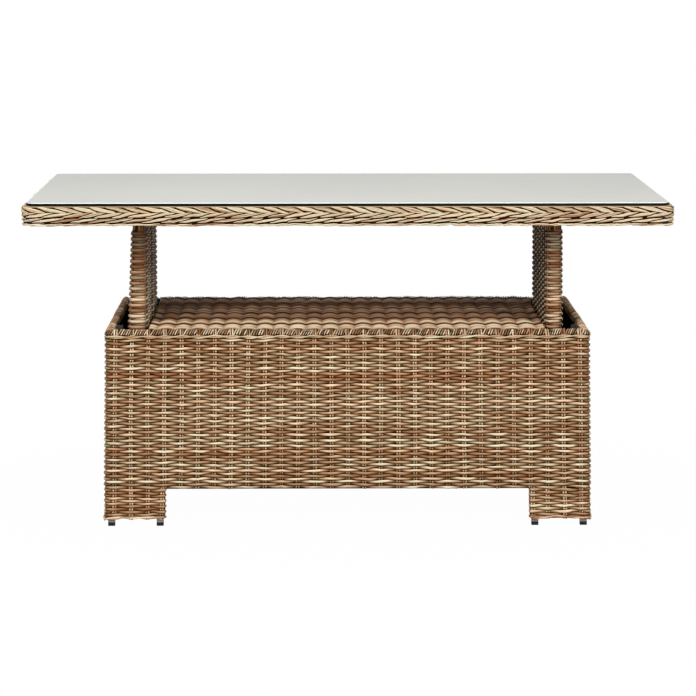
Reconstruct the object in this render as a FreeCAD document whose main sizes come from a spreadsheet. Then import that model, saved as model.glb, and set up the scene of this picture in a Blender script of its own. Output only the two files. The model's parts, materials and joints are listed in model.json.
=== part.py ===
import FreeCAD, Part
import Sketcher
import os
import re

# Woven lift table, millimetres, +Z up, front towards -Y, origin on the floor under the middle.
# Built in the raised position, with the top at the upper end of its travel.

sizes = [
    ("top_length", 1400, "apron to apron along X"),
    ("top_width", 800, "apron to apron along Y"),
    ("top_thickness", 48, "glass surface to lower edge of the apron"),
    ("top_corner", 26, "plan radius of the apron"),
    ("glass_thickness", 5, "plate"),
    ("glass_inset", 9, "glass edge inside the apron face"),
    ("glass_corner", 24, "plan radius of the plate"),
    ("glass_arris", 0.8, "ground edge"),
    ("bumper_thickness", 2, "clear bumper under the glass"),
    ("bumper_diameter", 12, "clear bumper"),
    ("bumper_inset", 70, "bumper centre from the apron face"),
    ("sheet_thickness", 3, "woven sheet under the glass"),
    ("apron_skin", 3.5, "woven apron"),
    ("top_rail_width", 20, "perimeter rail of the top"),
    ("cross_width", 40, "cross rail of the top"),
    ("cross_height", 16, "cross rail of the top"),
    ("tube_wall", 1.5, "wall of every frame tube"),
    ("base_length", 1064, "weave to weave along X"),
    ("base_width", 600, "weave to weave along Y"),
    ("base_height", 436, "top of the rim"),
    ("skin", 4, "woven skin of the base"),
    ("post", 15, "square tube of the base"),
    ("leg_width", 135, "each leg of a notched wall"),
    ("leg_inset", 9, "leg tube from the edge of the notch"),
    ("notch_height", 86, "lower edge of the walls between the legs"),
    ("weave_clear", 14, "lower edge of the leg weave"),
    ("glide_height", 8, "foot glide below the tube"),
    ("glide_spigot", 15, "foot glide inside the tube"),
    ("deck_drop", 2, "deck below the rim"),
    ("slot_gap", 9, "deck end to the panel weave"),
    ("lift_travel", 234, "raised to lowered"),
    ("lowered_gap", 4, "apron above the rim when lowered"),
    ("panel_inset", 73, "middle plane of a lift panel from the end of the base"),
    ("panel_depth", 440, "weave to weave along Y"),
    ("panel_tube", 28, "round upright"),
    ("panel_skin", 4, "woven skin of a panel"),
    ("panel_hidden", 78, "frame that stays in the base when raised"),
    ("sleeve_hidden", 20, "weave that stays in the base when raised"),
    ("panel_rail", 20, "height of the panel rails and width of the stiles"),
    ("stile_width", 16, "inner stile along Y"),
    ("stile_centre", 30, "inner stile from the middle"),
    ("block_offset", 160, "mount block from the middle"),
    ("block_length", 50, "mount block along Y"),
    ("block_width", 36, "mount block along X"),
    ("bolt_diameter", 6, "panel bolt"),
    ("bolt_pitch", 28, "two bolts in a block"),
    ("head_diameter", 10, "bolt head"),
    ("head_height", 5, "bolt head"),
    ("bolt_grip", 10, "bolt inside the cross rail"),
    ("spring_bar", 20, "square tube under a gas spring"),
    ("cylinder_diameter", 22, "gas cylinder"),
    ("cylinder_bore", 19, "gas cylinder"),
    ("cylinder_length", 300, "gas cylinder"),
    ("cylinder_floor", 12, "closed end"),
    ("cylinder_guide", 14, "rod end"),
    ("rod_diameter", 10, "gas rod and foot stud"),
    ("piston_height", 16, "piston on the rod"),
    ("piston_play", 2, "piston below the rod guide when raised"),
    ("nut_width", 17, "foot nut across corners and flats"),
    ("nut_height", 8, "foot nut"),
    ("fit_play", 0.1, "running fit on a radius"),
    ("head_length", 28, "release head along X"),
    ("head_width", 28, "release head along Y"),
    ("head_rise", 12, "release head above the panel"),
    ("rod_entry", 8, "rod inside the release head"),
    ("cheek_reach", 24, "cheeks beyond the release head"),
    ("cheek_rise", 21, "cheeks above the panel"),
    ("cheek_thickness", 4, "cheek"),
    ("pivot_reach", 30, "lever pivot from the rod"),
    ("pivot_rise", 16, "lever pivot above the panel"),
    ("pivot_diameter", 5, "lever pivot pin"),
    ("pin_diameter", 4, "release pin"),
    ("pin_rise", 17, "release pin above the panel"),
    ("pin_length", 21, "release pin"),
    ("pin_stroke", 3, "release pin"),
    ("lever_gap", 0.4, "lever over the release pin"),
    ("lever_thickness", 3.5, "lever"),
    ("lever_width", 18, "lever"),
    ("lever_tail", 6, "lever beyond the rod"),
    ("lever_inset", 76, "end of the lever inside the apron face"),
    ("boss_diameter", 9, "lever boss"),
    ("grip_width", 22, "lever grip"),
    ("grip_height", 8, "lever grip"),
    ("channel_width", 24, "guide channel along Y"),
    ("channel_depth", 16, "guide channel along X"),
    ("channel_wall", 2, "guide channel"),
    ("shoe_play", 0.5, "shoe in its channel"),
    ("shoe_height", 52, "guide shoe"),
    ("shoe_seat", 8, "screw head from the upright"),
    ("screw_diameter", 4, "shoe and channel screws"),
    ("screw_head", 7, "shoe and channel screws"),
    ("screw_length", 10, "shoe and channel screws"),
    ("screw_cap", 1.6, "height of a screw head"),
    ("stop_gap", 0.4, "shoe above its stop when lowered"),
]

# Places and lengths that follow from the sizes.
derived = {
    "apron_low": "base_height + lift_travel + lowered_gap",
    "glass_low": "apron_low + top_thickness - glass_thickness",
    "sheet_high": "glass_low - bumper_thickness",
    "sheet_low": "sheet_high - sheet_thickness",
    "rail_low": "apron_low + apron_skin",
    "frame_x": "top_length / 2 - apron_skin",
    "frame_y": "top_width / 2 - apron_skin",
    "rail_x": "frame_x - top_rail_width / 2",
    "rail_y": "frame_y - top_rail_width / 2",
    "arc_x": "top_length / 2 - top_corner",
    "arc_y": "top_width / 2 - top_corner",
    "cross_low": "sheet_low - cross_height",
    "cross_span": "2 * (frame_y - top_rail_width)",
    "post_x": "base_length / 2 - skin - post / 2",
    "post_y": "base_width / 2 - skin - post / 2",
    "inner_x": "base_length / 2 - skin - post",
    "inner_y": "base_width / 2 - skin - post",
    "leg_x": "base_length / 2 - leg_width + leg_inset + post / 2",
    "leg_y": "base_width / 2 - leg_width + leg_inset + post / 2",
    "rim_low": "base_height - skin",
    "top_rail_low": "rim_low - post",
    "low_rail": "notch_height + skin",
    "deck_high": "base_height - deck_drop",
    "deck_low": "deck_high - skin",
    "panel_centre": "base_length / 2 - panel_inset",
    "panel_low": "base_height - panel_hidden",
    "panel_high": "apron_low",
    "sleeve_low": "base_height - sleeve_hidden",
    "panel_thickness": "panel_tube + 2 * panel_skin",
    "deck_length": "2 * (panel_centre - panel_thickness / 2 - slot_gap)",
    "upright_y": "panel_depth / 2 - panel_skin - panel_tube / 2",
    "rail_floor": "panel_high - panel_rail",
    "cylinder_low": "low_rail + spring_bar",
    "cylinder_high": "cylinder_low + cylinder_length",
    "piston_low": "cylinder_high - cylinder_guide - piston_play - piston_height",
    "rod_high": "panel_high + rod_entry",
    "pivot_z": "panel_high + pivot_rise",
    "pin_low": "panel_high + pin_rise - pin_length",
    "lever_low": "panel_high + pin_rise + lever_gap",
    "lever_reach": "top_length / 2 - lever_inset - panel_centre - pivot_reach",
    "grip_length": "lever_reach * 4 / 9",
    "channel_low": "low_rail + 2",
    "channel_high": "rim_low",
    "channel_x": "inner_x - channel_depth / 2",
    "shoe_low": "panel_low + 2",
    "shoe_end": "inner_x - channel_wall - shoe_play",
    "stop_high": "shoe_low - lift_travel - stop_gap",
}

doc = FreeCAD.newDocument("LiftTable")
sheet = doc.addObject("Spreadsheet::Sheet", "Sizes")
for row, (name, value, note) in enumerate(sizes, 1):
    sheet.set(f"A{row}", name)
    sheet.set(f"B{row}", str(value))
    sheet.set(f"C{row}", note)
    sheet.setAlias(f"B{row}", name)
doc.recompute()
named = {name for name, value, note in sizes}
count = 0


def formula(text):
    def swap(match):
        word = match.group()
        if word in derived:
            return "(" + formula(derived[word]) + ")"
        return "Sizes." + word if word in named else word

    return re.sub(r"[A-Za-z_]\w*", swap, str(text))


probe = doc.addObject("Part::Vertex", "Probe")


# The number that an expression comes to.
def number(text):
    probe.setExpression("X", formula(text))
    probe.recompute()
    return float(probe.X)


def add(kind):
    global count
    count += 1
    return doc.addObject(kind, f"Step{count}")


def bind(thing, **values):
    for prop, text in values.items():
        thing.setExpression(prop, formula(text))
    return thing


def place(thing, x, y, z):
    for axis, text in zip("xyz", (x, y, z)):
        thing.setExpression("Placement.Base." + axis, formula(text))
    return thing


# A box by its three lengths, its centre in X and Y, and its lowest level.
def box(length, width, height, x, y, low):
    made = bind(add("Part::Box"), Length=length, Width=width, Height=height)
    return place(made, f"({x}) - ({length}) / 2", f"({y}) - ({width}) / 2", low)


# A cylinder that stands on its lower end.
def rod(diameter, height, x, y, low):
    made = bind(add("Part::Cylinder"), Radius=f"({diameter}) / 2", Height=height)
    return place(made, x, y, low)


# A cylinder that lies along an axis, from its middle.
def bar(diameter, length, x, y, z, axis):
    made = bind(add("Part::Cylinder"), Radius=f"({diameter}) / 2", Height=length)
    if axis == "y":
        made.Placement = FreeCAD.Placement(FreeCAD.Vector(), FreeCAD.Rotation(FreeCAD.Vector(1, 0, 0), -90))
        return place(made, x, f"({y}) - ({length}) / 2", z)
    made.Placement = FreeCAD.Placement(FreeCAD.Vector(), FreeCAD.Rotation(FreeCAD.Vector(0, 1, 0), 90))
    return place(made, f"({x}) - ({length}) / 2", y, z)


def cut(whole, *tools):
    for tool in tools:
        made = add("Part::Cut")
        made.Base = whole
        made.Tool = tool
        whole = made
    return whole


def fuse(*pieces):
    made = add("Part::MultiFuse")
    made.Shapes = list(pieces)
    made.Refine = True
    return made


def common(one, other):
    made = add("Part::MultiCommon")
    made.Shapes = [one, other]
    return made


# A square tube along one axis, from its outer sizes.
def tube(length, width, height, x, y, low, axis):
    inner = {"x": (f"({length}) + 2", f"({width}) - 2 * tube_wall", f"({height}) - 2 * tube_wall", 0),
             "y": (f"({length}) - 2 * tube_wall", f"({width}) + 2", f"({height}) - 2 * tube_wall", 0),
             "z": (f"({length}) - 2 * tube_wall", f"({width}) - 2 * tube_wall", f"({height}) + 2", 1)}[axis]
    floor = f"({low}) - 1" if inner[3] else f"({low}) + tube_wall"
    return cut(box(length, width, height, x, y, low), box(*inner[:3], x, y, floor))


# Rounds the upright edges of a straight-sided solid.
def rounded(solid, radius):
    doc.recompute()
    made = add("Part::Fillet")
    made.Base = solid
    edges = []
    value = number(radius)
    for index, edge in enumerate(solid.Shape.Edges, 1):
        low, high = edge.BoundBox.ZMin, edge.BoundBox.ZMax
        if edge.BoundBox.XLength + edge.BoundBox.YLength < 0.001 and high > low:
            edges.append((index, value, value))
    made.Edges = edges
    return made


nodes = []


def node(label, *pieces):
    made = pieces[0]
    if len(pieces) > 1:
        made = add("Part::Compound")
        made.Links = list(pieces)
    made.Label = label
    nodes.append(made)
    return made


upright = FreeCAD.Rotation(FreeCAD.Vector(1, 0, 0), 90)
sideways = FreeCAD.Rotation(FreeCAD.Vector(1, 1, 1), 120)
flat = FreeCAD.Rotation()


# A closed outline through points whose two distances from the sketch origin are bound to sizes.
def outline(body, points, turn, x, y, z):
    global count
    count += 1
    sketch = body.newObject("Sketcher::SketchObject", f"Outline{count}")
    sketch.Placement = FreeCAD.Placement(FreeCAD.Vector(), turn)
    place(sketch, x, y, z)
    doc.recompute()
    spots = [FreeCAD.Vector(number(x), number(y), 0) for x, y in points]
    last = len(points) - 1
    for i, spot in enumerate(spots):
        sketch.addGeometry(Part.LineSegment(spot, spots[0 if i == last else i + 1]), False)
    for i in range(len(points)):
        sketch.addConstraint(Sketcher.Constraint("Coincident", i, 2, 0 if i == last else i + 1, 1))
    for i, (point, spot) in enumerate(zip(points, spots)):
        for kind, text, value in (("DistanceX", point[0], spot.x), ("DistanceY", point[1], spot.y)):
            index = sketch.addConstraint(Sketcher.Constraint(kind, -1, 1, i, 1, value))
            sketch.setExpression(f"Constraints[{index}]", formula(text))
    return sketch


def pad(body, sketch, length):
    made = body.newObject("PartDesign::Pad", "Pad")
    made.Profile = sketch
    bind(made, Length=length)
    sketch.Visibility = False
    doc.recompute()
    return made


def rectangle(half_x, half_y):
    left, low = f"-({half_x})", f"-({half_y})"
    return [(left, low), (half_x, low), (half_x, half_y), (left, half_y)]


# A plate with rounded plan corners.
def plate(half_x, half_y, radius, low, thickness):
    body = add("PartDesign::Body")
    first = pad(body, outline(body, rectangle(half_x, half_y), flat, "0", "0", low), thickness)
    corners = body.newObject("PartDesign::Fillet", "Corners")
    names = [f"Edge{i}" for i, edge in enumerate(first.Shape.Edges, 1)
             if edge.BoundBox.XLength + edge.BoundBox.YLength < 0.001]
    corners.Base = (first, names)
    bind(corners, Radius=radius)
    doc.recompute()
    return body, corners


print("top")
glass, corners = plate("top_length / 2 - glass_inset", "top_width / 2 - glass_inset", "glass_corner",
                       "glass_low", "glass_thickness")
arris = glass.newObject("PartDesign::Chamfer", "Arris")
arris.Base = (corners, [f"Face{i}" for i, face in enumerate(corners.Shape.Faces, 1)
                        if face.BoundBox.ZLength < 0.001])
bind(arris, Size="glass_arris")
node("glass_top", glass)

bumpers = []
bumper_end = "top_length / 2 - bumper_inset"
for x in (f"-({bumper_end})", "-top_length / 6", "top_length / 6", bumper_end):
    for y in ("-(top_width / 2 - bumper_inset)", "top_width / 2 - bumper_inset"):
        bumpers.append(rod("bumper_diameter", "bumper_thickness", x, y, "sheet_high"))
node("glass_bumpers", *bumpers)

woven, corners = plate("frame_x", "frame_y", "top_corner - apron_skin", "sheet_low", "sheet_thickness")
node("top_woven_sheet", woven)

apron_height = "sheet_high - apron_low"
shell = rounded(box("top_length", "top_width", apron_height, "0", "0", "apron_low"), "top_corner")
hollow = rounded(box("2 * frame_x", "2 * frame_y", apron_height, "0", "0", "rail_low"),
                 "top_corner - apron_skin")
mouth = box("2 * (frame_x - top_rail_width)", "2 * (frame_y - top_rail_width)", apron_height,
            "0", "0", "apron_low - 1")
ring = cut(shell, hollow, mouth)
ending = "top_corner + 20"
for label, side in (("apron_front", "-1"), ("apron_rear", "1")):
    zone = box(f"top_length - 2 * ({ending})", "100", f"{apron_height} + 20",
               "0", f"{side} * (top_width / 2 - 40)", "apron_low - 10")
    node(label, common(ring, zone))
for label, side in (("apron_left", "-1"), ("apron_right", "1")):
    zone = box(f"{ending}", "top_width + 20", f"{apron_height} + 20",
               f"{side} * (top_length / 2 - ({ending}) / 2)", "0", "apron_low - 10")
    node(label, common(ring, zone))

rail_height = "sheet_low - rail_low"
node("top_long_rails", *[tube("2 * arc_x", "top_rail_width", rail_height,
                              "0", f"{side} * (rail_y)", "rail_low", "x") for side in ("-1", "1")])
node("top_end_rails", *[tube("top_rail_width", "2 * arc_y", rail_height,
                             f"{side} * (rail_x)", "0", "rail_low", "y") for side in ("-1", "1")])

blocks = []
arcs = [(0, "arc_x", "arc_y"), (90, "-arc_x", "arc_y"), (180, "-arc_x", "-arc_y"), (270, "arc_x", "-arc_y")]
for turn, x, y in arcs:
    quarter = add("Part::Cylinder")
    bind(quarter, Radius="top_corner - apron_skin - fit_play", Height=rail_height, Angle="90")
    quarter.Placement = FreeCAD.Placement(FreeCAD.Vector(), FreeCAD.Rotation(FreeCAD.Vector(0, 0, 1), turn))
    blocks.append(place(quarter, x, y, "rail_low"))
node("top_corner_blocks", *blocks)
node("top_centre_rail", tube("cross_width", "cross_span", "cross_height", "0", "0", "cross_low", "y"))

print("base")
corner_spots = [(x, y) for x in ("-post_x", "post_x") for y in ("-post_y", "post_y")]
leg_spots = [(x, y) for x in ("-leg_x", "leg_x") for y in ("-post_y", "post_y")]
leg_spots += [(x, y) for x in ("-post_x", "post_x") for y in ("-leg_y", "leg_y")]
node("corner_posts", *[tube("post", "post", "rim_low - glide_height", x, y, "glide_height", "z")
                       for x, y in corner_spots])
node("leg_posts", *[tube("post", "post", "low_rail - glide_height", x, y, "glide_height", "z")
                    for x, y in leg_spots])
glides = []
for x, y in corner_spots + leg_spots:
    foot = box("post", "post", "glide_height", x, y, "0")
    spigot = box("post - 2 * tube_wall - 2 * fit_play", "post - 2 * tube_wall - 2 * fit_play",
                 "glide_spigot + 1", x, y, "glide_height - 1")
    glides.append(fuse(foot, spigot))
node("foot_glides", *glides)

for label, low in (("top", "top_rail_low"), ("bottom", "low_rail")):
    node(f"base_{label}_long_rails", *[tube("2 * (inner_x)", "post", "post",
                                            "0", f"{side} * (post_y)", low, "x") for side in ("-1", "1")])
    ends = []
    for side in ("-1", "1"):
        drill = [bar("screw_diameter + 2 * fit_play", "2 * tube_wall + 2", f"{side} * (inner_x)", y,
                     f"{low} + post / 2", "x") for y in ("-upright_y", "upright_y")]
        ends.append(cut(tube("post", "2 * (inner_y)", "post", f"{side} * (post_x)", "0", low, "y"), *drill))
    node(f"base_{label}_end_rails", *ends)

short_x = "post_x - leg_x - post"
short_y = "post_y - leg_y - post"
shorts = []
for sx in ("-1", "1"):
    for sy in ("-1", "1"):
        shorts.append(tube(short_x, "post", "post", f"{sx} * (post_x + leg_x) / 2", f"{sy} * (post_y)",
                           "weave_clear + skin", "x"))
        shorts.append(tube("post", short_y, "post", f"{sx} * (post_x)", f"{sy} * (post_y + leg_y) / 2",
                           "weave_clear + skin", "y"))
node("leg_rails", *shorts)


# A notched wall between two legs, with the rim that folds over the top rail.
def wall(half, turn, x, y, notch, rim):
    body = add("PartDesign::Body")
    low, high, step = "weave_clear", "base_height", "notch_height"
    points = [(f"-({half})", low), (f"-({notch})", low), (f"-({notch})", step), (notch, step), (notch, low),
              (half, low), (half, high), (f"-({half})", high)]
    pad(body, outline(body, points, turn, x, y, "0"), "skin")
    pad(body, outline(body, rim, flat, "0", "0", "rim_low"), "skin")
    return body


for label, sign in (("front", "-1"), ("rear", "1")):
    outer = "base_width / 2 - skin"
    near, far = (f"-({outer})", "-inner_y") if sign == "-1" else ("inner_y", outer)
    half = "base_length / 2 - skin"
    rim = [(f"-({half})", near), (half, near), (half, far), (f"-({half})", far)]
    level = f"-({outer})" if sign == "-1" else "base_width / 2"
    node(f"{label}_wall_weave", wall("base_length / 2", upright, "0", level,
                                     "base_length / 2 - leg_width", rim))
for label, sign in (("left", "-1"), ("right", "1")):
    outer = "base_length / 2 - skin"
    near, far = ("-base_length / 2 + skin", "-inner_x") if sign == "-1" else ("inner_x", outer)
    rim = [(near, "-inner_y"), (far, "-inner_y"), (far, "inner_y"), (near, "inner_y")]
    level = "-base_length / 2" if sign == "-1" else outer
    node(f"{label}_wall_weave", wall("base_width / 2 - skin", sideways, level, "0",
                                     "base_width / 2 - leg_width", rim))

node("deck_weave", box("deck_length", "2 * (inner_y)", "skin", "0", "0", "deck_low"))
edge = "deck_length / 2 - post / 2 - skin"
node("deck_rails", *[tube("post", "2 * (inner_y)", "post", x, "0", "deck_low - post", "y")
                     for x in (f"-({edge})", "-deck_length / 6", "deck_length / 6", edge)])

print("lift panels")
stops = []
nuts = []
bolts = []
mounts = []
crosses = []
bridges = []
pivots = []
channels = []
shoes = []
shoe_screws = []
channel_screws = []
for label, sign in (("left", "-1"), ("right", "1")):
    centre = f"{sign} * panel_centre"

    def out(distance):
        return f"{sign} * (panel_centre + ({distance}))"

    screw_levels = ("shoe_low + shoe_height / 4", "shoe_low + shoe_height * 3 / 4")
    legs = []
    holes = []
    for y in ("-upright_y", "upright_y"):
        leg = rod("panel_tube", "panel_high - panel_low", centre, y, "panel_low")
        bore = rod("panel_tube - 2 * tube_wall", "panel_high - panel_low + 2", centre, y, "panel_low - 1")
        drill = [bar("screw_diameter + 2 * fit_play", "panel_tube / 2", out("panel_tube / 2"), y, z, "x")
                 for z in screw_levels]
        legs.append(cut(leg, bore, *drill))
        holes.append(("panel_tube + 2 * fit_play", "panel_high - panel_low + 2", centre, y, "panel_low - 1"))
    node(f"{label}_panel_uprights", *legs)

    beam = tube("panel_tube", "2 * upright_y", "panel_rail", centre, "0", "rail_floor", "y")
    beam = cut(beam, *[rod(*hole) for hole in holes])
    beam = cut(beam, rod("rod_diameter + 2 * fit_play", "panel_rail + 2", centre, "0", "rail_floor - 1"))
    bolt_spots = [f"{side} * block_offset + {step} * bolt_pitch / 2"
                  for side in ("-1", "1") for step in ("-1", "1")]
    drill = [("bolt_diameter + 2 * fit_play", "tube_wall + 2", centre, y) for y in bolt_spots]
    beam = cut(beam, *[rod(*spot, "panel_high - tube_wall - 1") for spot in drill])
    node(f"{label}_panel_top_rail", beam)

    node(f"{label}_panel_stiles", *[tube("panel_rail", "stile_width", "rail_floor - panel_low", centre,
                                         f"{side} * stile_centre", "panel_low", "z") for side in ("-1", "1")])
    feet = []
    for side, hole in zip(("-1", "1"), holes):
        reach = "upright_y - stile_centre - stile_width / 2"
        middle = f"{side} * (stile_centre + stile_width / 2 + ({reach}) / 2)"
        foot = tube("panel_rail", reach, "panel_rail", centre, middle, "panel_low", "y")
        feet.append(cut(foot, rod(*hole)))
    node(f"{label}_panel_bottom_rails", *feet)

    sleeve = rounded(box("panel_thickness", "panel_depth", "panel_high - sleeve_low",
                         centre, "0", "sleeve_low"), "panel_thickness / 2 - fit_play")
    core = rounded(box("panel_tube + 2 * fit_play", "panel_depth - 2 * panel_skin + 2 * fit_play",
                       "panel_high - sleeve_low + 2", centre, "0", "sleeve_low - 1"), "panel_tube / 2")
    node(f"{label}_panel_weave", cut(sleeve, core))

    for side in ("-1", "1"):
        spot = f"{side} * block_offset"
        mount = box("block_width", "block_length", "cross_low - panel_high", centre, spot, "panel_high")
        for step in ("-1", "1"):
            y = f"{spot} + {step} * bolt_pitch / 2"
            mount = cut(mount, rod("bolt_diameter + 2 * fit_play", "cross_low - panel_high + 2", centre, y,
                                   "panel_high - 1"))
            shank = rod("bolt_diameter", "cross_low - panel_high + tube_wall + bolt_grip", centre, y,
                        "panel_high - tube_wall")
            bolts.append(fuse(shank, rod("head_diameter", "head_height", centre, y,
                                         "panel_high - tube_wall - head_height")))
        mounts.append(mount)
    cross = tube("cross_width", "cross_span", "cross_height", centre, "0", "cross_low", "y")
    cross = cut(cross, *[rod(*spot, "cross_low - 1") for spot in drill])
    crosses.append(cross)

    bridge = tube("spring_bar", "2 * (inner_y)", "spring_bar", centre, "0", "low_rail", "y")
    stud_hole = rod("rod_diameter + 2 * fit_play", "spring_bar + 2", centre, "0", "low_rail - 1")
    bridges.append(cut(bridge, stud_hole))
    barrel = rod("cylinder_diameter", "cylinder_length", centre, "0", "cylinder_low")
    stud = rod("rod_diameter", "spring_bar + nut_height + 1", centre, "0", "low_rail - nut_height")
    chamber = rod("cylinder_bore", "cylinder_length - cylinder_floor - cylinder_guide", centre, "0",
                  "cylinder_low + cylinder_floor")
    gland = rod("rod_diameter + 2 * fit_play", "cylinder_guide + 2", centre, "0",
                "cylinder_high - cylinder_guide - 1")
    node(f"{label}_gas_cylinder", cut(fuse(barrel, stud), chamber, gland))
    nut = cut(box("nut_width", "nut_width", "nut_height", centre, "0", "low_rail - nut_height"),
              rod("rod_diameter + 2 * fit_play", "nut_height + 2", centre, "0", "low_rail - nut_height - 1"))
    nuts.append(nut)

    stem = rod("rod_diameter", "rod_high - piston_low", centre, "0", "piston_low")
    piston = rod("cylinder_bore - 2 * fit_play", "piston_height", centre, "0", "piston_low")
    bore = rod("pin_diameter + 2 * fit_play", "rod_high - pin_low + pin_stroke + 2", centre, "0",
               "pin_low - pin_stroke - 1")
    node(f"{label}_gas_rod", cut(fuse(stem, piston), bore))
    block = box("head_length", "head_width", "head_rise", centre, "0", "panel_high")
    cheeks = [box("cheek_reach + 2", "cheek_thickness", "cheek_rise",
                  out("head_length / 2 + cheek_reach / 2 - 1"),
                  f"{side} * (head_width - cheek_thickness) / 2", "panel_high") for side in ("-1", "1")]
    rod_hole = rod("rod_diameter + 2 * fit_play", "rod_entry + fit_play + 1", centre, "0", "panel_high - 1")
    clevis = cut(fuse(block, *cheeks), rod_hole,
                 rod("pin_diameter + 2 * fit_play", "head_rise + 2", centre, "0", "panel_high - 1"),
                 bar("pivot_diameter + 2 * fit_play", "head_width + 2", out("pivot_reach"), "0", "pivot_z",
                     "y"))
    node(f"{label}_release_head", clevis)
    node(f"{label}_release_pin", rod("pin_diameter", "pin_length", centre, "0", "pin_low"))
    pivots.append(bar("pivot_diameter", "head_width", out("pivot_reach"), "0", "pivot_z", "y"))
    span = "lever_tail + pivot_reach + lever_reach"
    arm = box(span, "lever_width", "lever_thickness", out(f"({span}) / 2 - lever_tail"), "0", "lever_low")
    boss = bar("boss_diameter", "lever_width", out("pivot_reach"), "0", "pivot_z", "y")
    eye = bar("pivot_diameter + 2 * fit_play", "lever_width + 2", out("pivot_reach"), "0", "pivot_z", "y")
    node(f"{label}_release_lever", cut(fuse(arm, boss), eye))
    tip = out("pivot_reach + lever_reach - grip_length / 2 + 2")
    grip = box("grip_length", "grip_width", "grip_height", tip, "0",
               "lever_low + lever_thickness / 2 - grip_height / 2")
    pocket = box("grip_length", "lever_width", "lever_thickness",
                 out("pivot_reach + lever_reach - grip_length / 2"), "0", "lever_low")
    node(f"{label}_lever_grip", cut(grip, pocket))

    for side, hole in zip(("-1", "1"), holes):
        y = f"{side} * upright_y"
        outer = box("channel_depth", "channel_width", "channel_high - channel_low", f"{sign} * channel_x", y,
                    "channel_low")
        groove = box("channel_depth", "channel_width - 2 * channel_wall", "channel_high - channel_low + 2",
                     f"{sign} * (channel_x - channel_wall)", y, "channel_low - 1")
        drill = []
        for z in ("low_rail + post / 2", "top_rail_low + post / 2"):
            drill.append(bar("screw_diameter + 2 * fit_play", "2 * channel_wall + 2", f"{sign} * (inner_x)",
                             y, z, "x"))
            seat = "inner_x - channel_wall"
            shank = bar("screw_diameter", "screw_length", f"{sign} * ({seat} + screw_length / 2)", y, z, "x")
            cap = bar("screw_head", "screw_cap", f"{sign} * ({seat} - screw_cap / 2)", y, z, "x")
            channel_screws.append(fuse(shank, cap))
        channels.append(cut(outer, groove, *drill))
        wide = "channel_width - 2 * channel_wall - 2 * shoe_play"
        reach = "shoe_end - panel_centre"
        shoe = box(reach, wide, "shoe_height", f"{sign} * (shoe_end + panel_centre) / 2", y, "shoe_low")
        seat = "panel_tube / 2 + shoe_seat"
        drill = []
        for z in screw_levels:
            drill.append(bar("screw_head + 1", reach, out(f"{seat} + ({reach}) / 2"), y, z, "x"))
            drill.append(bar("screw_diameter + 2 * fit_play", "2 * shoe_seat + 2", out(seat), y, z, "x"))
            thread = "screw_length + shoe_seat / 2"
            shank = bar("screw_diameter", thread, out(f"{seat} - ({thread}) / 2"), y, z, "x")
            cap = bar("screw_head", "screw_cap", out(f"{seat} + screw_cap / 2"), y, z, "x")
            shoe_screws.append(fuse(shank, cap))
        shoes.append(cut(shoe, rod(*hole), *drill))
        depth = "channel_depth - channel_wall - 2"
        stop_low = "low_rail + post / 2 + screw_head / 2 + 1"
        stops.append(box(depth, wide, f"stop_high - ({stop_low})",
                         f"{sign} * (inner_x - channel_wall - ({depth}) / 2)", y, stop_low))
node("mount_blocks", *mounts)
node("panel_bolts", *bolts)
node("top_cross_rails", *crosses)
node("spring_bars", *bridges)
node("spring_nuts", *nuts)
node("pivot_pins", *pivots)
node("guide_channels", *channels)
node("channel_screws", *channel_screws)
node("guide_shoes", *shoes)
node("shoe_screws", *shoe_screws)
node("bump_stops", *stops)

print("check")
doc.removeObject(probe.Name)
doc.recompute()
faults = []
for thing in doc.Objects:
    if "Invalid" in thing.State or "Error" in thing.State:
        faults.append(f"{thing.Label}: {thing.State}")
for thing in nodes:
    if thing.Shape.isNull() or not thing.Shape.isValid() or not thing.Shape.Solids:
        faults.append(f"{thing.Label}: no valid solid")
if faults:
    raise SystemExit("\n".join(faults))

os.makedirs("parts", exist_ok=True)
for thing in nodes:
    thing.Shape.exportStep(f"parts/{thing.Label}.step")
print(len(nodes), "nodes,", sum(len(thing.Shape.Solids) for thing in nodes), "solids")
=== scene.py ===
import bpy
import json
import math
import numpy as np
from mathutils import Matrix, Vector


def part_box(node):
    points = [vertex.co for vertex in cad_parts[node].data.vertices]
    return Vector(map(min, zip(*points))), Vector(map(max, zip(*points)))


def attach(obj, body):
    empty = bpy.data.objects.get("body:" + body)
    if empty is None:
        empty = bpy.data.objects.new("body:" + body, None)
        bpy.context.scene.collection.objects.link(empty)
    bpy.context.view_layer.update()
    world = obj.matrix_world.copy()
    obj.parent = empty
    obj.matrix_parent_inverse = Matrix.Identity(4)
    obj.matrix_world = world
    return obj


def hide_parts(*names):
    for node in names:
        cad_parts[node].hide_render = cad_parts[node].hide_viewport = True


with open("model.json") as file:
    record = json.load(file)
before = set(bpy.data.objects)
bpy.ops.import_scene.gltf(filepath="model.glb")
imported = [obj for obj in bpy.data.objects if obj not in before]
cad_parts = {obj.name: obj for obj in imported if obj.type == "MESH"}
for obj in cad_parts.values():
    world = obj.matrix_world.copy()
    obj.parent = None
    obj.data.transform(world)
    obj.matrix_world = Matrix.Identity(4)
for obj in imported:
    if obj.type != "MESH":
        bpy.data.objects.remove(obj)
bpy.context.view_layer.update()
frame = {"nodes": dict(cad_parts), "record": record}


# Selecting and finishing

def pick(obj, *others):
    bpy.ops.object.select_all(action="DESELECT")
    for item in (obj, *others):
        item.select_set(True)
    bpy.context.view_layer.objects.active = obj
    return obj


def editAll(obj):
    pick(obj)
    bpy.ops.object.mode_set(mode="EDIT")
    bpy.ops.mesh.select_all(action="SELECT")


def applyModifiers(obj):
    pick(obj)
    for name in [mod.name for mod in obj.modifiers]:
        bpy.ops.object.modifier_apply(modifier=name)
    return obj


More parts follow.
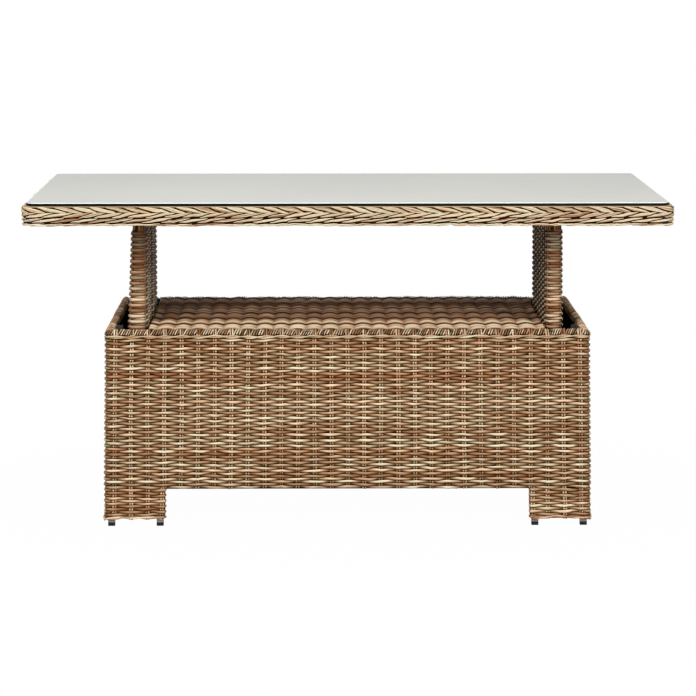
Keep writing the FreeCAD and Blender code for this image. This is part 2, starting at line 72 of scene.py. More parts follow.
def joinAll(name, objs):
    pick(*objs)
    bpy.ops.object.join()
    obj = bpy.context.object
    obj.name = name
    obj.data.name = name
    return obj


def smooth(obj, angle=60):
    pick(obj)
    bpy.ops.object.shade_smooth_by_angle(angle=math.radians(angle))
    return obj


# One strand: a ring drawn out along a line of points, flattened to its width and thickness

def newStrand(name, line, wide, thick, across="z", corners=6, taper=None, caps=False):
    turn = (0, 0, 0) if across == "x" else (0, math.pi / 2, 0)
    bpy.ops.mesh.primitive_circle_add(vertices=corners, radius=0.5, fill_type="NOTHING", rotation=turn)
    obj = bpy.context.object
    obj.name = name
    bpy.ops.object.transform_apply(location=True, rotation=True, scale=True)
    editAll(obj)
    flatten = {"z": (1, thick, wide), "y": (1, wide, thick), "x": (wide, thick, 1)}[across]
    bpy.ops.transform.resize(value=flatten)
    bpy.ops.transform.translate(value=line[0])
    if caps:
        bpy.ops.mesh.edge_face_add()
        bpy.ops.mesh.select_all(action="SELECT")
    for i in range(1, len(line)):
        step = Vector(line[i]) - Vector(line[i - 1])
        bpy.ops.mesh.extrude_region_move(TRANSFORM_OT_translate={"value": step})
        if taper:
            size = taper[i] / taper[i - 1]
            bpy.ops.transform.resize(value=(size, size, size), center_override=line[i])
    bpy.ops.mesh.select_all(action="SELECT")
    bpy.ops.mesh.normals_make_consistent(inside=False)
    bpy.ops.object.mode_set(mode="OBJECT")
    layStrandUv(obj, line, across)
    return obj


# U runs along the strand and V once round it, so each copy can be told apart later

def layStrandUv(obj, line, across, edgeU=0.02, edgeV=0.04):
    mesh = obj.data
    axis = 2 if across == "x" else 0
    stops = [p[axis] for p in line]
    low, span = min(stops), max(stops) - min(stops)
    layer = mesh.uv_layers.get("UVMap") or mesh.uv_layers.new(name="UVMap")

    def turnOf(co):
        x, y, z = (co[k] - float(np.interp(co[axis], stops, [p[k] for p in line])) for k in range(3))
        sine, cosine = {"x": (x, y), "y": (y, -z), "z": (z, y)}[across]
        return math.atan2(sine, cosine) / (2 * math.pi)

    for face in mesh.polygons:
        turns = [turnOf(mesh.vertices[v].co) for v in face.vertices]
        first = turns[0]
        turns = [t - round(t - first) for t in turns]
        drop = math.floor(min(turns) + 1e-6)
        for loop, vert, turn in zip(face.loop_indices, face.vertices, turns):
            u = (mesh.vertices[vert].co[axis] - low) / span
            v = turn - drop
            layer.data[loop].uv = (edgeU + (1 - 2 * edgeU) * u, edgeV + (0.5 - 2 * edgeV) * v)


def shiftUv(obj, du, dv):
    data = np.empty(len(obj.data.loops) * 2, dtype=np.float32)
    layer = obj.data.uv_layers["UVMap"]
    layer.data.foreach_get("uv", data)
    data[0::2] += du
    data[1::2] += dv
    layer.data.foreach_set("uv", data)


# U counts the rows that cross a stake, whole numbers at their middles

def rowUv(obj, first, pitch):
    layer = obj.data.uv_layers["UVMap"]
    for loop in obj.data.loops:
        spot = layer.data[loop.index]
        spot.uv = ((obj.data.vertices[loop.vertex_index].co.z - first) / pitch, spot.uv[1])


def repeat(obj, count, step, du=0, dv=0, weld=False, weldReach=0.00002):
    mod = obj.modifiers.new("repeat", "ARRAY")
    mod.use_relative_offset = False
    mod.use_constant_offset = True
    mod.constant_offset_displace = step
    mod.count = count
    mod.offset_u = du
    mod.offset_v = dv
    mod.use_merge_vertices = weld
    mod.merge_threshold = weldReach


def moveMesh(obj, step):
    editAll(obj)
    bpy.ops.transform.translate(value=step)
    bpy.ops.object.mode_set(mode="OBJECT")
    return obj


# Cuts a mesh by a plane and keeps the side the normal points away from

def trim(obj, spot, normal):
    editAll(obj)
    bpy.ops.mesh.bisect(plane_co=spot, plane_no=normal, clear_outer=True, use_fill=False)
    bpy.ops.object.mode_set(mode="OBJECT")
    return obj


def cutEnds(obj, length):
    trim(obj, (0, 0, 0), (-1, 0, 0))
    return trim(obj, (length, 0, 0), (1, 0, 0))


# Guide lines that the weave is bent round

def arcPoints(cx, cy, radius, start, end, steps):
    turns = [math.radians(start + (end - start) * i / steps) for i in range(steps + 1)]
    return [(cx + radius * math.cos(t), cy + radius * math.sin(t)) for t in turns]


def newLine(name, points, closed=False):
    curve = bpy.data.curves.new(name, "CURVE")
    curve.dimensions = "3D"
    spline = curve.splines.new("POLY")
    spline.points.add(len(points) - 1)
    for spot, place in zip(spline.points, points):
        spot.co = (*place, 1)
    spline.use_cyclic_u = closed
    obj = bpy.data.objects.new(name, curve)
    bpy.context.collection.objects.link(obj)
    return obj


def guideLine(name, points, closed=False):
    obj = newLine(name, [(x, y, 0) for x, y in points], closed)
    obj.data.twist_mode = "Z_UP"
    return obj


def lengthOf(points, closed=False):
    ring = points + points[:1] if closed else points
    return sum(math.dist(a, b) for a, b in zip(ring, ring[1:]))


def bendAlong(obj, line):
    mod = obj.modifiers.new("bend", "CURVE")
    mod.object = line
    mod.deform_axis = "POS_X"
    applyModifiers(obj)


# A cord with a round section along any line

def newCord(name, line, thick, edge=0.1, perMetre=180):
    obj = pick(newLine(name, line))
    obj.data.bevel_depth = thick / 2
    obj.data.bevel_resolution = 1
    obj.data.use_fill_caps = True
    bpy.ops.object.convert(target="MESH")
    obj = bpy.context.object
    layer = obj.data.uv_layers.get("UVMap") or obj.data.uv_layers.new(name="UVMap")
    reach = max(p[2] for p in line) - min(p[2] for p in line)
    for loop in obj.data.loops:
        co = obj.data.vertices[loop.vertex_index].co
        u = edge + (1 - 2 * edge) * (co.z - line[0][2]) / reach
        v = edge + (0.5 - 2 * edge) * ((co.x * perMetre) % 1)
        layer.data[loop.index].uv = (u, v)
    return obj


# Dark sheet behind a weave, painted shade in the gaps between the strands, so that no daylight shows
# through them

def newLiner(name, length, low, high, depth, thick=0.0006, step=0.004, short=0.2, longCuts=240):
    cuts = max(2, round(length / step)) if length < short else longCuts
    bpy.ops.mesh.primitive_grid_add(x_subdivisions=cuts, y_subdivisions=1, size=1,
                                    location=(length / 2, depth, (low + high) / 2),
                                    rotation=(math.pi / 2, 0, 0))
    liner = bpy.context.object
    liner.name = name
    liner.data.name = name
    liner.scale = (length, high - low, 1)
    bpy.ops.object.transform_apply(location=True, rotation=True, scale=True)
    thicken = liner.modifiers.new("thicken", "SOLIDIFY")
    thicken.thickness = thick
    thicken.offset = 0
    return liner


# Slow wobble, so that hand-woven rows don't run ruler straight

def wobble(obj, strength, size, axis="Z", calm=""):
    cloud = bpy.data.textures.new("wobble", "CLOUDS")
    cloud.noise_scale = size
    mod = obj.modifiers.new("wobble", "DISPLACE")
    mod.texture = cloud
    mod.texture_coords = "LOCAL"
    mod.direction = axis
    mod.strength = strength
    mod.mid_level = 0.5
    mod.vertex_group = calm
    applyModifiers(obj)


# Weights that fade the wobble out at both ends of a wall

def calmEnds(obj, span, reach=0.03, levels=8):
    group = obj.vertex_groups.new(name="calm")
    places = np.empty(len(obj.data.vertices) * 3, dtype=np.float32)
    obj.data.vertices.foreach_get("co", places)
    along = places[0::3]
    share = np.clip(np.minimum(along, span - along) / reach, 0, 1)
    level = np.round(share * levels).astype(int)
    for number in range(levels + 1):
        group.add(np.flatnonzero(level == number).tolist(), number / levels, "REPLACE")
    return group.name


# A cage of eight corners that leans or flares what is inside it

def newCage(name, low, high, moves):
    cage = bpy.data.lattices.new(name)
    for axis in "uvw":
        setattr(cage, "interpolation_type_" + axis, "KEY_LINEAR")
    obj = bpy.data.objects.new(name, cage)
    bpy.context.collection.objects.link(obj)
    size = [b - a for a, b in zip(low, high)]
    obj.location = [(a + b) / 2 for a, b in zip(low, high)]
    obj.scale = size
    for index, (dx, dy, dz) in moves.items():
        point = cage.points[index]
        point.co_deform = point.co + Vector((dx / size[0], dy / size[1], dz / size[2]))
    bpy.context.view_layer.update()
    return obj


def leanWith(obj, cage):
    mod = obj.modifiers.new("lean", "LATTICE")
    mod.object = cage
    return applyModifiers(obj)


# A strand that swings in front of one stake and behind the next

def waveLine(period, rise, steps, phase, z=0.0):
    line = []
    for i in range(steps + 1):
        swing = math.cos(2 * math.pi * i / steps + phase)
        line.append((period * i / steps, -rise * swing, z))
    return line


# Two rows, one in front where the other is behind, each slimmer where it dips

def rowTile(period, pitch, rise, wide, thick, low, slim=0.35, steps=8):
    swings = [math.cos(2 * math.pi * i / steps) for i in range(steps + 1)]
    swell = [1 - slim * (0.5 - 0.5 * swing) ** 2 for swing in swings]
    pinch = [1 - slim * (0.5 + 0.5 * swing) ** 2 for swing in swings]
    over = newStrand("over", waveLine(period, rise, steps, 0, low), wide, thick, taper=swell)
    line = waveLine(period, rise, steps, math.pi, low + pitch)
    under = newStrand("under", line, wide * pinch[0], thick * pinch[0], taper=pinch)
    shiftUv(under, 0, 0.5)
    return joinAll("rowTile", [over, under])


# Two strands twisted round each other, for one turn or along a whole leg

def pairTile(period, pair, turns=1.0, stepsPerTurn=8, archPower=0.7):
    strands = []
    steps = round(stepsPerTurn * turns)
    for number, phase in enumerate((0, math.pi)):
        line = []
        for i in range(steps + 1):
            turn = 2 * math.pi * turns * i / steps + phase
            arch = pair["arch"] * math.sin(math.pi * i / steps) ** archPower
            level = pair["low"] + pair["lift"] * math.sin(turn) + arch
            line.append((period * turns * i / steps, pair["depth"] - pair["rise"] * math.cos(turn), level))
        strand = newStrand("twisted", line, pair["wide"], pair["thick"])
        shiftUv(strand, 0, 0.5 * number)
        strands.append(strand)
    return joinAll("pairTile", strands)


# Two stakes side by side, repeated along a wall or a panel

def stakePair(size, levels, row, pitch, begin, count, gap):
    made = []
    for step, shift in ((-size["apart"] / 2, 0), (size["apart"] / 2, 0.5)):
        line = [(step, 0, level) for level in levels]
        stake = newStrand("stake", line, size["wide"], size["thick"], across="x")
        rowUv(stake, row, pitch)
        shiftUv(stake, 0, shift)
        moveMesh(stake, (begin, 0, 0))
        repeat(stake, count, (gap, 0, 0), dv=1)
        made.append(applyModifiers(stake))
    return made


# Caps every open strand end

def closeEnds(obj):
    editAll(obj)
    bpy.ops.mesh.fill_holes(sides=0)
    bpy.ops.mesh.select_all(action="SELECT")
    bpy.ops.mesh.normals_make_consistent(inside=False)
    bpy.ops.object.mode_set(mode="OBJECT")


def dress(obj, body, slotName, material, *nodes):
    closeEnds(obj)
    obj.data.materials.clear()
    obj.data.materials.append(material)
    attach(obj, body)
    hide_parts(*nodes)
    print("piece", obj.name, len(obj.data.polygons))


# Shader sockets as values

class Wire:
    def __init__(self, tree, socket=None):
        self.tree = tree
        self.socket = socket

    def node(self, kind, settings=(), inputs=(), out=0):
        made = self.tree.nodes.new("ShaderNode" + kind)
        for key, value in dict(settings).items():
            if key == "stops":
                ramp = made.color_ramp
                while len(ramp.elements) < len(value):
                    ramp.elements.new(0.5)
                for element, (place, colour) in zip(ramp.elements, value):
                    element.position = place
                    element.color = colour
            else:
                setattr(made, key, value)
        for key, value in dict(inputs).items():
            if isinstance(value, Wire):
                self.tree.links.new(value.socket, made.inputs[key])
            else:
                made.inputs[key].default_value = value
        return Wire(self.tree, made.outputs[out])

    def maths(self, operation, one, two=0.0):
        return self.node("Math", {"operation": operation}, {0: one, 1: two})

    def __add__(self, other):
        return self.maths("ADD", self, other)

    __radd__ = __add__

    def __sub__(self, other):
        return self.maths("SUBTRACT", self, other)

    def __rsub__(self, other):
        return self.maths("SUBTRACT", other, self)

    def __mul__(self, other):
        return self.maths("MULTIPLY", self, other)

    __rmul__ = __mul__

    def __rtruediv__(self, other):
        return self.maths("DIVIDE", other, self)

    def __pow__(self, other):
        return self.maths("POWER", self, other)

    def __abs__(self):
        return self.maths("ABSOLUTE", self)

    def floor(self):
        return self.maths("FLOOR", self)

    def fract(self):
        return self.maths("FRACT", self)

    def cosine(self):
        return self.maths("COSINE", self)

    def under(self, limit):
        return self.maths("LESS_THAN", self, limit)

    def over(self, limit):
        return self.maths("GREATER_THAN", self, limit)

    def larger(self, other):
        return self.maths("MAXIMUM", self, other)

    # The X, Y or Z of a place
    def part(self, axis):
        return self.node("SeparateXYZ", (), {0: self}, axis)

    def noise(self, kind, scale=1.0, detail=2.0):
        inputs = {"W" if kind == "1D" else "Vector": self, "Scale": scale, "Detail": detail}
        return self.node("TexNoise", {"noise_dimensions": kind}, inputs)


def linear(level):
    share = level / 255
    return share / 12.92 if level <= 10 else ((share + 0.055) / 1.055) ** 2.4


def colour(red, green, blue):
    return (linear(red), linear(green), linear(blue), 1.0)


def startMaterial(name, **fixed):
    material = bpy.data.materials.new(name)
    material.use_nodes = True
    shader = material.node_tree.nodes["Principled BSDF"]
    for key, value in fixed.items():
        shader.inputs[key.replace("_", " ")].default_value = value
    return material, Wire(material.node_tree), shader


def plug(wire, shader, socket):
    wire.tree.links.new(wire.socket, shader.inputs[socket])


print("materials")
strandTones = {
    "stops": [
        (0.0, colour(22, 8, 1)), (0.2, colour(62, 32, 9)), (0.4, colour(106, 73, 43)),
        (0.6, colour(146, 112, 82)), (0.8, colour(188, 156, 126)), (1.0, colour(236, 211, 181)),
    ],
    "russet": (1.16, 0.88, 0.74, 1.0),
    "straw": (0.93, 1.05, 1.03, 1.0),
    "sheen": (1.0, 0.84, 0.62, 1.0),
    "streak": 0.26,
    "tintDye": 0.6, "tintSlow": 0.5, "tintTone": 0.9, "tintShift": 0.72,
    "rough": 0.40, "roughStreak": 0.3,
    "belly": 0.42, "darkest": 0.2,
    "dipSharp": 0.42,
    "bump": 0.25, "bumpDepth": 0.0006,
}

# How fast the noise runs along a strand, and how far apart two strands read it
strandNoise = {
    "copyApart": 13.7,
    "dyeApart": 1.7, "dyeShift": 3.3,
    "slowAlong": 0.33, "slowApart": (5.17, 3.1),
    "fineAlong": 1.6, "fineRound": 34.0,
    "patchAlong": 1.4, "patchApart": 7.3,
}
rowBandNoise = {"step": 0.17, "edgeStep": 0.14, "edgeBend": 0.5, "edgeShare": 0.24, "edgeDepth": 0.32}
bandNoise = {"stretch": (0.9, 0.9, 7.0), "scale": 1.3, "tint": 2}
wallFade = {"level": 0.241, "narrow": 18.0, "tint": 3}
# Painted shade on the long faces of the lift panels, and a painted shadow of the top on the left panel
panelFace = {
    "half": 0.205,
    "dipSharp": 3.2, "rough": 0.25, "tint": 0.5, "hollow": 16.0,
    "tone": 1.24, "leftTone": 0.89, "leftRowShade": 0.8, "leftDipShade": 0.75,
    "mean": 1.06, "topShadeFrom": 0.44, "topShadeTo": 0.64, "topShade": (1.1, 0.8),
}


# Neighbouring rows share a tone in bands, with a darker stretch at the start of each band

def rowBandTone(v, rowBand):
    r = rowBandNoise
    cut = (v * r["step"]).noise("1D", detail=1.0)
    edge = (v * r["edgeStep"] + cut * r["edgeBend"]).fract()
    return (cut - 0.5) * rowBand - edge.under(r["edgeShare"]) * (r["edgeDepth"] * rowBand)


# Extruded strands: each has its own tone, drifts along its length and is streaked lengthways, with painted
# shade under and between them where asked

def strandMaterial(name, lean, spread, drift=0.3, perCopy=False, band=0.0, dipShade=0.0, rowBand=0.0, faded=0.0,
                   hollow=0.0, longFaceShade=0.0, rowShade=0.0, pairs=0.0, gloss=0.12):
    t, n = strandTones, strandNoise
    material, wire, shader = startMaterial(name, Specular_IOR_Level=gloss, Specular_Tint=t["sheen"])
    uv = wire.node("TexCoord", out="UV")
    u, v = uv.part("X"), uv.part("Y")
    row = (v * 2).floor()
    strand = v.floor() if pairs else row
    if perCopy:
        strand = strand + u.floor() * n["copyApart"]
    own = wire.node("TexWhiteNoise", {"noise_dimensions": "1D"}, {"W": strand})
    seed = strand * n["dyeApart"] + n["dyeShift"]
    dye = wire.node("TexWhiteNoise", {"noise_dimensions": "1D"}, {"W": seed})
    apartU, apartV = n["slowApart"]
    along = wire.node("CombineXYZ", (), {0: u * n["slowAlong"] + strand * apartU, 1: strand * apartV})
    slow = along.noise("2D")
    fine = wire.node("CombineXYZ", (), {0: u * n["fineAlong"], 1: v * n["fineRound"]})
    streak = fine.noise("2D", detail=3.0)
    patch = (u * n["patchAlong"] + strand * n["patchApart"]).noise("1D")
    tone = (own - 0.5) * spread + (slow - 0.5) * (2 * drift) + (patch - 0.5) * drift + lean
    tone = tone + (streak - 0.5) * t["streak"]
    if rowBand:
        tone = tone + rowBandTone(v, rowBand)
    if pairs:
        # Every other row is darker
        tone = tone - (row * 0.5).fract() * (2 * pairs)
    tint = dye * t["tintDye"] + slow * t["tintSlow"] + tone * t["tintTone"] - t["tintShift"]
    sharp = t["dipSharp"]
    rough = streak * t["roughStreak"] + t["rough"]
    if band or faded or longFaceShade:
        place = wire.node("TexCoord", out="Object")
    if band:
        # Broad clouds that run along the weave
        wide = wire.node("Mapping", (), {"Vector": place, "Scale": bandNoise["stretch"]})
        cloud = wide.noise("3D", bandNoise["scale"]) - 0.5
        tone = tone + cloud * band
        tint = tint + cloud * (bandNoise["tint"] * band)
    if faded:
        # A paler stretch half way up the walls
        away = (place.part("Z") - wallFade["level"]) * wallFade["narrow"]
        near = 1.0 / (away * away + 1)
        tone = tone + near * faded
        tint = tint + near * (wallFade["tint"] * faded)
    if longFaceShade:
        # Painted shade on the long faces of a lift panel: deeper dark gaps, darker undersides, a greyer
        # tint and a changed tone
        f = panelFace
        longFace = abs(place.part("Y")).under(f["half"])
        sharp = longFace * f["dipSharp"] + t["dipSharp"]
        rough = rough + longFace * f["rough"]
        tint = tint + longFace * f["tint"]
        # Painted shadow of the top on the left panel, darker towards the top, and painted shade on every
        # other row of its long faces
        left = place.part("X").under(0.0)
        topShade = wire.node("MapRange", (), {0: place.part("Z"), 1: f["topShadeFrom"], 2: f["topShadeTo"],
                                          3: f["topShade"][0], 4: f["topShade"][1]})
        tone = tone * (left * (topShade - f["mean"]) + f["mean"])
        odd = (row * 0.5).fract()
        tone = tone + longFace * (f["tone"] - left * (odd * f["leftRowShade"] + f["leftTone"]))
        dipShade = longFace * (longFaceShade - left * f["leftDipShade"]) + dipShade
        hollow = longFace * f["hollow"] + hollow
    if hollow:
        # Painted shade, darker under the belly of each strand
        belly = (v * 2).fract() - t["belly"]
        tone = tone * (1.0 - belly * belly * hollow).larger(t["darkest"])
    if dipShade:
        # Painted shade, darker where the strand dips behind a stake
        front = ((u - row * 0.5) * (2 * math.pi)).cosine() * 0.5 + 0.5
        dip = 1 - front ** sharp
        tone = tone * (1 - dip * dipShade)
    if rowShade:
        # Painted shade: stakes are darker where the rows that cross them would shade them
        tone = tone * ((u * (2 * math.pi)).cosine() * (rowShade / 2) + (1 - rowShade / 2))
    ramp = wire.node("ValToRGB", {"stops": t["stops"]}, {0: tone})
    dyed = wire.node("Mix", {"data_type": "RGBA"}, {0: tint, 6: t["russet"], 7: t["straw"]}, 2)
    shaded = wire.node("VectorMath", {"operation": "MULTIPLY"}, {0: ramp, 1: dyed})
    plug(shaded, shader, "Base Color")
    plug(rough, shader, "Roughness")
    bump = wire.node("Bump", (), {"Strength": t["bump"], "Distance": t["bumpDepth"], "Height": streak})
    plug(bump, shader, "Normal")
    return material


wallStrand = strandMaterial("wallStrand", lean=0.86, spread=0.36, drift=0.36, band=0.22, dipShade=0.82,
                            faded=0.08, hollow=8.0)
bindStrand = strandMaterial("bindStrand", lean=0.86, spread=0.3, hollow=6.0)
stakeStrand = strandMaterial("stakeStrand", lean=0.96, spread=0.3, hollow=5.0, rowShade=0.6)
ribStrand = strandMaterial("ribStrand", lean=0.60, spread=0.2)
rimStrand = strandMaterial("rimStrand", lean=0.80, spread=0.55, drift=0.2, perCopy=True)
# Neck strands in a dark tone: painted shadow of the apron above them
neckStrand = strandMaterial("neckStrand", lean=0.46, spread=0.4, hollow=8.0)
deckStrand = strandMaterial("deckStrand", lean=0.76, spread=0.15, rowBand=1.5, dipShade=0.85, gloss=0.06)
panelStrand = strandMaterial("panelStrand", lean=0.81, spread=0.34, band=0.2, dipShade=0.08, hollow=11.0,
                             longFaceShade=0.92, pairs=0.09, gloss=0.18)
braidStrand = strandMaterial("braidStrand", lean=1.14, spread=0.8, perCopy=True, hollow=15.0)


# Painted, moulded and plated pieces: cloudy colour and roughness over a fine grain

lacquerGrain = {
    "cloud": 38.0, "grain": 900.0, "rough": 0.22, "darkAt": 0.3, "lightAt": 0.72,
    "bump": 0.12, "bumpDepth": 0.0003,
    "bareColour": colour(140, 136, 128), "bareMetal": 0.7,
}


def lacquer(name, dark, light, rough, metal=0.0, gloss=0.5, bareBelow=0.0):
    g = lacquerGrain
    material, wire, shader = startMaterial(name, Metallic=metal, Specular_IOR_Level=gloss)
    place = wire.node("TexCoord", out="Object")
    cloud = place.noise("3D", g["cloud"], 4.0)
    grain = place.noise("3D", g["grain"])
    stops = [(g["darkAt"], colour(*dark)), (g["lightAt"], colour(*light))]
    paint = wire.node("ValToRGB", {"stops": stops}, {0: cloud})
    if bareBelow:
        # Bare metal at the foot of a painted tube
        bare = place.part("Z").under(bareBelow)
        paint = wire.node("Mix", {"data_type": "RGBA"}, {0: bare, 6: paint, 7: g["bareColour"]}, 2)
        plug(bare * g["bareMetal"], shader, "Metallic")
    plug(paint, shader, "Base Color")
    plug(cloud * g["rough"] + rough, shader, "Roughness")
    bump = wire.node("Bump", (), {"Strength": g["bump"], "Distance": g["bumpDepth"], "Height": grain})
    plug(bump, shader, "Normal")
    return material


# Frame tubes in a very dark lacquer, kept this dark also as painted shade where they show through the weave
tubeLacquerAndShade = lacquer("tubeLacquerAndShade", (20, 12, 6), (34, 22, 13), 0.45, gloss=0.2)
# Dark sheets behind the weave: painted shade seen through the gaps between strands
shadowLiner = lacquer("shadowLiner", (30, 14, 4), (46, 24, 9), 0.75, gloss=0.05)
panelShadeLiner = lacquer("panelShadeLiner", (36, 18, 6), (52, 29, 13), 0.75, gloss=0.05)
tubeEnd = lacquer("tubeEnd", (20, 12, 6), (34, 22, 13), 0.35, gloss=0.3, bareBelow=0.034)
blackMoulding = lacquer("blackMoulding", (14, 14, 14), (28, 28, 27), 0.42, gloss=0.2)
blackEnamel = lacquer("blackEnamel", (28, 29, 24), (46, 47, 38), 0.3, 0.1)
brightSteel = lacquer("brightSteel", (170, 172, 175), (205, 206, 208), 0.14, 1.0)
clearBumper = lacquer("clearBumper", (200, 204, 204), (222, 225, 224), 0.2)


# Satin glass: pale face, dark green edge, and a near-white ground arris that is partly a painted highlight

glassLook = {
    "pale": [(0.3, colour(197, 198, 192)), (0.7, colour(205, 206, 200))],
    "ground": colour(250, 252, 250),
    "edge": [(0.3, colour(8, 24, 23)), (0.7, colour(14, 34, 32))],
    "groundX": 0.6888, "groundY": 0.3825, "edgeTilt": 0.4,
    "haze": 2.2, "rough": 0.40, "roughHaze": 0.12,
    "edgeRough": 0.5, "edgeGloss": 0.08,
}


def satinGlass():
    g = glassLook
    material, wire, shader = startMaterial("satinGlass", IOR=1.5, Specular_IOR_Level=0.03)
    place = wire.node("TexCoord", out="Object")
    normal = wire.node("TexCoord", out="Normal")
    # Near-white band round the rim: the ground edge, partly painted as a highlight
    groundX = abs(place.part("X")).over(g["groundX"])
    groundY = abs(place.part("Y")).over(g["groundY"])
    haze = place.noise("3D", g["haze"], 3.0)
    pale = wire.node("ValToRGB", {"stops": g["pale"]}, {0: haze})
    face = wire.node("Mix", {"data_type": "RGBA"}, {0: groundX.larger(groundY), 6: pale, 7: g["ground"]}, 2)
    plug(face, shader, "Base Color")
    plug(haze * g["roughHaze"] + g["rough"], shader, "Roughness")
    green = wire.node("ValToRGB", {"stops": g["edge"]}, {0: haze})
    side = wire.node("BsdfPrincipled", (), {"Base Color": green, "Roughness": g["edgeRough"],
                                            "Specular IOR Level": g["edgeGloss"]})
    edge = normal.part("Z").under(g["edgeTilt"])
    both = wire.node("MixShader", (), {0: edge, 1: Wire(wire.tree, shader.outputs[0]), 2: side})
    plug(both, wire.tree.nodes["Material Output"], 0)
    return material


print("frame pieces")
finishOf = {
    "frame_tube": tubeLacquerAndShade, "black_plastic": blackMoulding, "black_metal": blackEnamel,
    "bright_steel": brightSteel, "clear_bumper": clearBumper, "glass": satinGlass(),
    "wicker": deckStrand,
}
slotOf = {part["node"]: part["material_slot"] for part in frame["record"]["subparts"]}
for name, obj in frame["nodes"].items():
    finish = finishOf[slotOf[name]]
    if name in ("corner_posts", "leg_posts"):
        finish = tubeEnd
    obj.data.materials.clear()
    obj.data.materials.append(finish)


print("base weave")
wallWeave = {
    "rowPitch": 0.00615, "wide": 0.0060, "thick": 0.0044, "rise": 0.0026,
    "low": 0.0868, "rows": 54,
    "longSides": ("front", "rear"),
    "long": {"stakes": 29, "firstGap": -1.5},
    "end": {"stakes": 17, "firstGap": -0.5},
    "halfX": 0.5310, "halfY": 0.2990, "corner": 0.006, "flare": 0.0045,
    "cageLow": (-0.6, -0.4, 0.0), "cageHigh": (0.6, 0.4, 0.446),
    "wobbles": [(0.0060, 0.05, "Z"), (0.0034, 0.016, "Z"), (0.0080, 0.07, "X")],
    "linerDepth": 0.0028, "linerDrop": 0.004, "linerHigh": 0.430,
    "rimPair": {"rise": 0.0014, "lift": 0.0020, "wide": 0.0042, "thick": 0.0040, "low": 0.4206,
                "depth": -0.0022, "arch": 0.0},
}
wallLegs = {
    "low": 0.0130, "rows": 12, "rise": 0.0014, "bottom": 0.0170,
    "firstRow": (60, 80),
    "edge": 0.1312, "turn": 0.0045, "turnedIn": 0.007,
    "linerLow": 0.0185, "linerGap": 0.002,
    "pairShort": 0.0040, "pairApart": 3,
    "pair": {"rise": 0.0014, "lift": 0.0014, "wide": 0.0040, "thick": 0.0040, "low": 0.0158,
             "depth": -0.0022, "arch": 0.0040},
}
wallStakes = {
    "size": {"wide": 0.0040, "thick": 0.0026, "apart": 0.0052},
    "first": 0.5, "drop": 0.003, "high": 0.4255,
    "inLeg": 3, "legLast": 3.38, "legLow": 0.0150,
    "turnBack": 0.0016, "turnDepth": 0.0100, "turnMiddle": 0.05,
    "turnWide": 0.0056, "turnThick": 0.0060,
}
sideTurn = {"front": 0.0, "right": math.pi / 2, "rear": math.pi, "left": -math.pi / 2}


def wallPoints(side):
    w = wallWeave
    x, y, r = w["halfX"] - w["corner"], w["halfY"] - w["corner"], w["corner"]
    ends = {
        "front": [(-x, -y, 225), (x, -y, 270)],
        "right": [(x, -y, 315), (x, y, 0)],
        "rear": [(x, y, 45), (-x, y, 90)],
        "left": [(-x, y, 135), (-x, -y, 180)],
    }[side]
    points = []
    for cx, cy, start in ends:
        points += arcPoints(cx, cy, r, start, start + 45, 5)
    return points


# From the corner of the base along a leg, and round its inner edge

def legPoints(side, edge, last, steps=6):
    r = wallLegs["turn"]
    points = wallPoints(side)[:6]
    ahead = Vector((math.cos(sideTurn[side]), math.sin(sideTurn[side])))
    inward = Vector((-ahead.y, ahead.x))
    middle = Vector(points[-1]) + ahead * (edge - lengthOf(points) - r) + inward * r
    for i in range(steps + 1):
        turn = math.pi / 2 * i / steps
        points.append(tuple(middle + (ahead * math.sin(turn) - inward * math.cos(turn)) * r))
    points.append(tuple(middle + ahead * r + inward * wallLegs["turnedIn"]))
    if last:
        mirror = (-1, 1) if side in wallWeave["longSides"] else (1, -1)
        points = [(x * mirror[0], y * mirror[1]) for x, y in reversed(points)]
    return points


# Rows on a length of wall or leg, in step with the rows of the whole wall

def wallRows(gap, first, start, length, low, rows, tag, rise):
    w = wallWeave
    tile = rowTile(2 * gap, w["rowPitch"], rise, w["wide"], w["thick"], low)
    shiftUv(tile, 0, tag)
    moveMesh(tile, (first - start, 0, 0))
    count = math.ceil((length + start - first) / (2 * gap))
    repeat(tile, count, (2 * gap, 0, 0), du=1, weld=True)
    repeat(tile, rows // 2, (0, 0, 2 * w["rowPitch"]), dv=1)
    applyModifiers(tile)
    return cutEnds(tile, length)


# The rows and liner of one leg below a wall, and the line that they are bent along

def legPiece(side, last, edge, gap, first, length):
    g = wallLegs
    line = legPoints(side, edge, last)
    legLength = lengthOf(line)
    guide = guideLine(side + "LegGuide", line)
    start = length - legLength if last else 0.0
    back = first + 2 * gap * math.floor((start - first) / (2 * gap))
    rows = wallRows(gap, back, start, legLength, g["low"], g["rows"], g["firstRow"][last], g["rise"])
    trim(rows, (0, 0, g["bottom"]), (0, 0, -1))
    high = wallWeave["low"] - g["linerGap"]
    liner = newLiner("legLiner", legLength, g["linerLow"], high, wallWeave["linerDepth"])
    return rows, liner, guide, legLength


# Paired stakes, long ones in the wall and short ones in the legs

